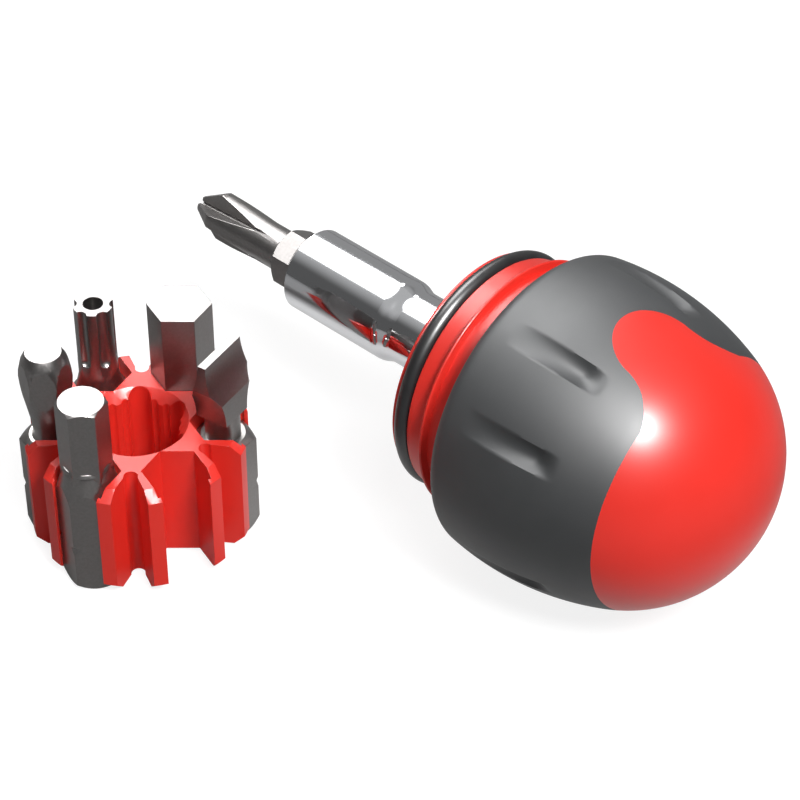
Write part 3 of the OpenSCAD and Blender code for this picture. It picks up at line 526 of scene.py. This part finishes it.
# %% [markdown]
# ## The selector collar
# The collar is a turned and moulded ring: a smooth band, a groove for the rubber ring, and a rim.
# Its corners are softly rounded, and they draw the thin bright lines that run round the tool.
# %% Turn the collar
collar_low, collar_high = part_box("selector_ring")
COLLAR_R = (collar_high[2] - collar_low[2]) / 2 / MM
COLLAR_BACK = -NECK_LENGTH
COLLAR_FRONT = collar_low[0] / MM - FRONT_X
RIM_T, RIM_R = 0.5, 13.7
RING_GROOVE_W, RING_FLOOR_R = 2.0, 12.5
BORE_R, STEP_R, SEAT_R = 11.7, 12.3, 12.5
STEP_T, SEAT_T = 0.7, 0.7
COLLAR_STEPS, COLLAR_ROUND, COLLAR_ROUND_STEPS = 160, 0.22, 4
ring_front = COLLAR_FRONT + RIM_T
ring_back = ring_front + RING_GROOVE_W
step_back, seat_front = COLLAR_FRONT + STEP_T, COLLAR_BACK - SEAT_T
collar_outline = [
    (COLLAR_BACK, SEAT_R), (COLLAR_BACK, COLLAR_R), (ring_back, COLLAR_R),
    (ring_back, RING_FLOOR_R), (ring_front, RING_FLOOR_R), (ring_front, RIM_R),
    (COLLAR_FRONT, RIM_R), (COLLAR_FRONT, STEP_R), (step_back, STEP_R),
    (step_back, BORE_R), (seat_front, BORE_R), (seat_front, SEAT_R)]
ROUNDED_FROM = 30


def round_corners(shape, width, segments):
    """Rounds every edge where two faces meet at more than ROUNDED_FROM degrees."""
    sharp = [edge for edge in shape.edges
        if len(edge.link_faces) == 2 and edge.calc_face_angle() > math.radians(ROUNDED_FROM)]
    bmesh.ops.bevel(shape, geom=sharp, offset=width * MM, offset_type="OFFSET", affect="EDGES",
        segments=segments, profile=0.5, material=-1, clamp_overlap=True)


collar_shape = lathe(collar_outline, COLLAR_STEPS)
round_corners(collar_shape, COLLAR_ROUND, COLLAR_ROUND_STEPS)
collar = to_piece(collar_shape, "collar_skin", "selector", "red_plastic", "selector_ring")
lean_to_large_faces(collar)

# %% [markdown]
# The rubber ring lies in the collar's groove and stands proud of it, so a wet hand can still turn
# it. It is a plain round wire bent into a circle, so its outline is one full arc.
# %% Turn the rubber ring
WIRE_R, WIRE_SPACING, RING_STEPS = 0.97, 0.12, 240
wire_middle = (ring_front + RING_GROOVE_W / 2, RING_FLOOR_R + WIRE_R)
wire_outline = arc(wire_middle, WIRE_R, 0, 360, WIRE_SPACING)[:-1]
to_piece(lathe(wire_outline, RING_STEPS), "ring_skin", "selector", "black_rubber", "o_ring")

# %% [markdown]
# ## The carousel and the bits
# The carousel is moulded and the bits are forged and blasted, so none of their edges is a knife
# edge. Their engineering shapes are right but for one cone, and their edges are too sharp. So each
# is copied, its flat faces are merged, and a small bevel rounds its edges and catches the light.
# %% Copy a part and round its edges
CAROUSEL_ROUND, CROSS_ROUND, BIT_ROUND, ROUND_STEPS = 0.12, 0.06, 0.08, 2
MERGE, FLAT = 0.002 * MM, math.radians(1)


def merged_copy(node):
    """A copy of an engineering part, with each of its flat faces in one piece."""
    shape = bmesh.new()
    shape.from_mesh(nodes[node].data)
    bmesh.ops.remove_doubles(shape, verts=shape.verts, dist=MERGE)
    bmesh.ops.dissolve_limit(shape, angle_limit=FLAT, verts=shape.verts, edges=shape.edges)
    return shape


def soften(shape, node, name, body, slot, width):
    """Rounds a copy's edges, and puts it in the engineering part's place."""
    round_corners(shape, width, ROUND_STEPS)
    lean_to_large_faces(to_piece(shape, name, body, slot, node))


soften(merged_copy("bit_carousel"), "bit_carousel",
    "carousel_skin", "handle", "red_plastic", CAROUSEL_ROUND)
soften(merged_copy("cross_bit"), "cross_bit",
    "cross_bit_skin", "chuck_bit", "bit_steel", CROSS_ROUND)
for bit in ("ball_hex_bit", "star_bit", "wide_hex_bit", "slotted_bit"):
    soften(merged_copy(bit), bit, bit + "_skin", bit + "_body", "bit_steel", BIT_ROUND)

# %% [markdown]
# The bit with the small hex head has a cone above its shank, and then a short flare that carries
# the head. In the engineering model the cone is short and flat. On the real bit it is tall and
# steep, so it leaves pointed arches on the sides of the six-sided shank. So we stretch the cone
# upwards and press the flare together. The bits stand on the ground, so a height is simply z.
# %% Stretch the cone of the small hex bit
CONE_FOOT, CONE_TOP, FLARE_TOP = 12.4, 13.3, 15.2
TALL_CONE_TOP, TALL_FLARE_TOP = 16.2, 16.6
ROUNDING = 0.1


def stretched(height):
    """Where a height on the bit goes. Heights below the cone and above the flare stay."""
    if CONE_FOOT < height <= CONE_TOP:
        climb = (height - CONE_FOOT) * (TALL_CONE_TOP - CONE_FOOT) / (CONE_TOP - CONE_FOOT)
        return CONE_FOOT + climb
    if CONE_TOP < height <= FLARE_TOP + ROUNDING:
        along_flare = (height - CONE_TOP) / (FLARE_TOP - CONE_TOP)
        return TALL_CONE_TOP + along_flare * (TALL_FLARE_TOP - TALL_CONE_TOP)
    return height


hex_bit_shape = merged_copy("hex_bit")
for corner in hex_bit_shape.verts:
    corner.co.z = stretched(corner.co.z / MM) * MM
soften(hex_bit_shape, "hex_bit", "hex_bit_skin", "hex_bit_body", "bit_steel", BIT_ROUND)

# %% [markdown]
# ## Floor and light
# The tool stands on a plain grey floor. The floor adds some light of its own, but only where the
# camera or a mirror looks at it, so it reads as white and still keeps the tool's shadow.
# In a mirror the glow fades away from the tool, like a pool of light on a studio's floor.
# %% Floor
FLOOR_HALF, FLOOR_GREY = 1.5, (0.2, 0.2, 0.2, 1)
floor_shape = bmesh.new()
bmesh.ops.create_grid(floor_shape, x_segments=1, y_segments=1, size=FLOOR_HALF)
floor_mesh = bpy.data.meshes.new("floor")
floor_shape.to_mesh(floor_mesh)
floor_shape.free()
floor = bpy.data.objects.new("floor", floor_mesh)
floor_white, shader = new_finish("floor_white", Roughness=0.9, Base_Color=FLOOR_GREY)
floor_mesh.materials.append(floor_white)
bpy.context.collection.objects.link(floor)

# %% [markdown]
# The pool of light is an ellipse on the floor, under the tool. We measure how far a place lies from
# its middle in the ellipse's own halves, so its border is at 1, and fade the light out round there.
# %% The pool of light
POOL_MIDDLE, POOL_HALF = (0.005, 0.014, 0), (0.05, 0.028, 1)
POOL_FULL, POOL_DARK = 0.8, 1.3
place = add_node(floor_white, "ShaderNodeTexCoord")
from_middle = add_node(floor_white, "ShaderNodeVectorMath")
from_middle.operation = "SUBTRACT"
from_middle.inputs[1].default_value = POOL_MIDDLE
in_halves = add_node(floor_white, "ShaderNodeVectorMath")
in_halves.operation = "DIVIDE"
in_halves.inputs[1].default_value = POOL_HALF
reach = add_node(floor_white, "ShaderNodeVectorMath")
reach.operation = "LENGTH"
pool = add_node(floor_white, "ShaderNodeMapRange")
pool.interpolation_type = "SMOOTHSTEP"
pool.inputs["From Min"].default_value = POOL_FULL
pool.inputs["From Max"].default_value = POOL_DARK
pool.inputs["To Min"].default_value = 1.0
pool.inputs["To Max"].default_value = 0.0
join(floor_white, place, "Object", from_middle, 0)
join(floor_white, from_middle, "Vector", in_halves, 0)
join(floor_white, in_halves, "Vector", reach, 0)
join(floor_white, reach, "Value", pool, "Value")

# %% [markdown]
# The glow is full where the camera looks, and takes the pool's shape where a mirror or glass looks.
# For all other rays it is zero, so it throws no light on the tool.
# %% The floor's glow
FLOOR_GLOW, MIRRORED_GLOW = 0.85, 0.45
rays = add_node(floor_white, "ShaderNodeLightPath")


def combine(operation, first, second):
    """A maths node that takes each input from a node's socket, or from a plain number."""
    maths = add_node(floor_white, "ShaderNodeMath")
    maths.operation = operation
    for index, source in enumerate((first, second)):
        if isinstance(source, float):
            maths.inputs[index].default_value = source
        else:
            join(floor_white, source[0], source[1], maths, index)
    return maths, "Value"


mirrored = combine("MAXIMUM", (rays, "Is Glossy Ray"), (rays, "Is Transmission Ray"))
mirrored_pool = combine("MULTIPLY", mirrored, (pool, "Result"))
mirrored_glow = combine("MULTIPLY", mirrored_pool, MIRRORED_GLOW)
seen_glow = combine("MULTIPLY", (rays, "Is Camera Ray"), FLOOR_GLOW)
glow = combine("MAXIMUM", seen_glow, mirrored_glow)
join(floor_white, glow[0], glow[1], shader, "Emission Strength")
shader.inputs["Emission Color"].default_value = (1, 1, 1, 1)
print("floor nodes:", len(floor_white.node_tree.nodes))

# %% [markdown]
# The sky is a dark studio with a paler ceiling and a paler wall behind the tool.
# Each is a soft patch round a direction.
# %% Sky
world = bpy.data.worlds.new("sky")
world.use_nodes = True
bpy.context.scene.world = world
sky = world.node_tree
place = sky.nodes.new("ShaderNodeTexCoord")


def direction(bearing, height):
    """The unit vector towards a bearing and a height in degrees."""
    b, h = math.radians(bearing), math.radians(height)
    return Vector((math.cos(b) * math.cos(h), math.sin(b) * math.cos(h), math.sin(h)))


def glow_towards(middle, inner, outer, dark, bright):
    """A patch of sky round a direction: bright inside one angle from it, dark outside another."""
    aim = sky.nodes.new("ShaderNodeVectorMath")
    aim.operation = "DOT_PRODUCT"
    aim.inputs[1].default_value = middle
    spread = sky.nodes.new("ShaderNodeMapRange")
    spread.interpolation_type = "SMOOTHSTEP"
    spread.inputs["From Min"].default_value = math.cos(math.radians(outer))
    spread.inputs["From Max"].default_value = math.cos(math.radians(inner))
    spread.inputs["To Min"].default_value = dark
    spread.inputs["To Max"].default_value = bright
    sky.links.new(place.outputs["Generated"], aim.inputs[0])
    sky.links.new(aim.outputs["Value"], spread.inputs["Value"])
    return spread


ceiling = glow_towards(direction(0, 90), inner=30, outer=62, dark=0.1, bright=0.5)
wall = glow_towards(direction(118, 5), inner=30, outer=60, dark=0.0, bright=0.3)
brighter = sky.nodes.new("ShaderNodeMath")
brighter.operation = "MAXIMUM"
sky.links.new(ceiling.outputs["Result"], brighter.inputs[0])
sky.links.new(wall.outputs["Result"], brighter.inputs[1])
sky.links.new(brighter.outputs["Value"], sky.nodes["Background"].inputs["Strength"])
sky.nodes["Background"].inputs["Color"].default_value = (1, 1, 1, 1)
print("sky nodes:", len(sky.nodes))

# %% [markdown]
# One plain lamp lights the colours. The others only make the shine: a small one for the bright spot
# on the ball, a window and its paler surround for the white bands on the chrome and the steel, and
# a weak one behind the tool. They are left out of the plain light, so the shine is strong while
# every colour keeps its own level.
# %% Lamps
AIM_HEIGHT = 0.015


def add_lamp(name, bearing, height, distance, size, power, shine):
    """An area lamp that points at the tool, from a bearing and a height in degrees."""
    towards = direction(bearing, height)
    lamp_data = bpy.data.lights.new(name, "AREA")
    lamp_data.shape = "DISK"
    lamp_data.size = size
    lamp_data.energy = power
    lamp = bpy.data.objects.new(name, lamp_data)
    lamp.location = towards * distance + Vector((0, 0, AIM_HEIGHT))
    lamp.rotation_euler = towards.to_track_quat("Z", "Y").to_euler()
    lamp.visible_diffuse = not shine
    lamp.visible_glossy = shine
    bpy.context.collection.objects.link(lamp)
    print(name, "lamp at", [round(v, 2) for v in lamp.location])


add_lamp("key", -12, 52, distance=0.7, size=0.2, power=4.8, shine=False)
add_lamp("spot", -33, 58, distance=0.71, size=0.15, power=17.0, shine=True)
add_lamp("window", 167, 53, distance=1.0, size=0.64, power=14.7, shine=True)
add_lamp("wide_window", 167, 53, distance=1.05, size=0.89, power=2.5, shine=True)
add_lamp("back", 129, 41, distance=1.0, size=0.28, power=1.2, shine=True)
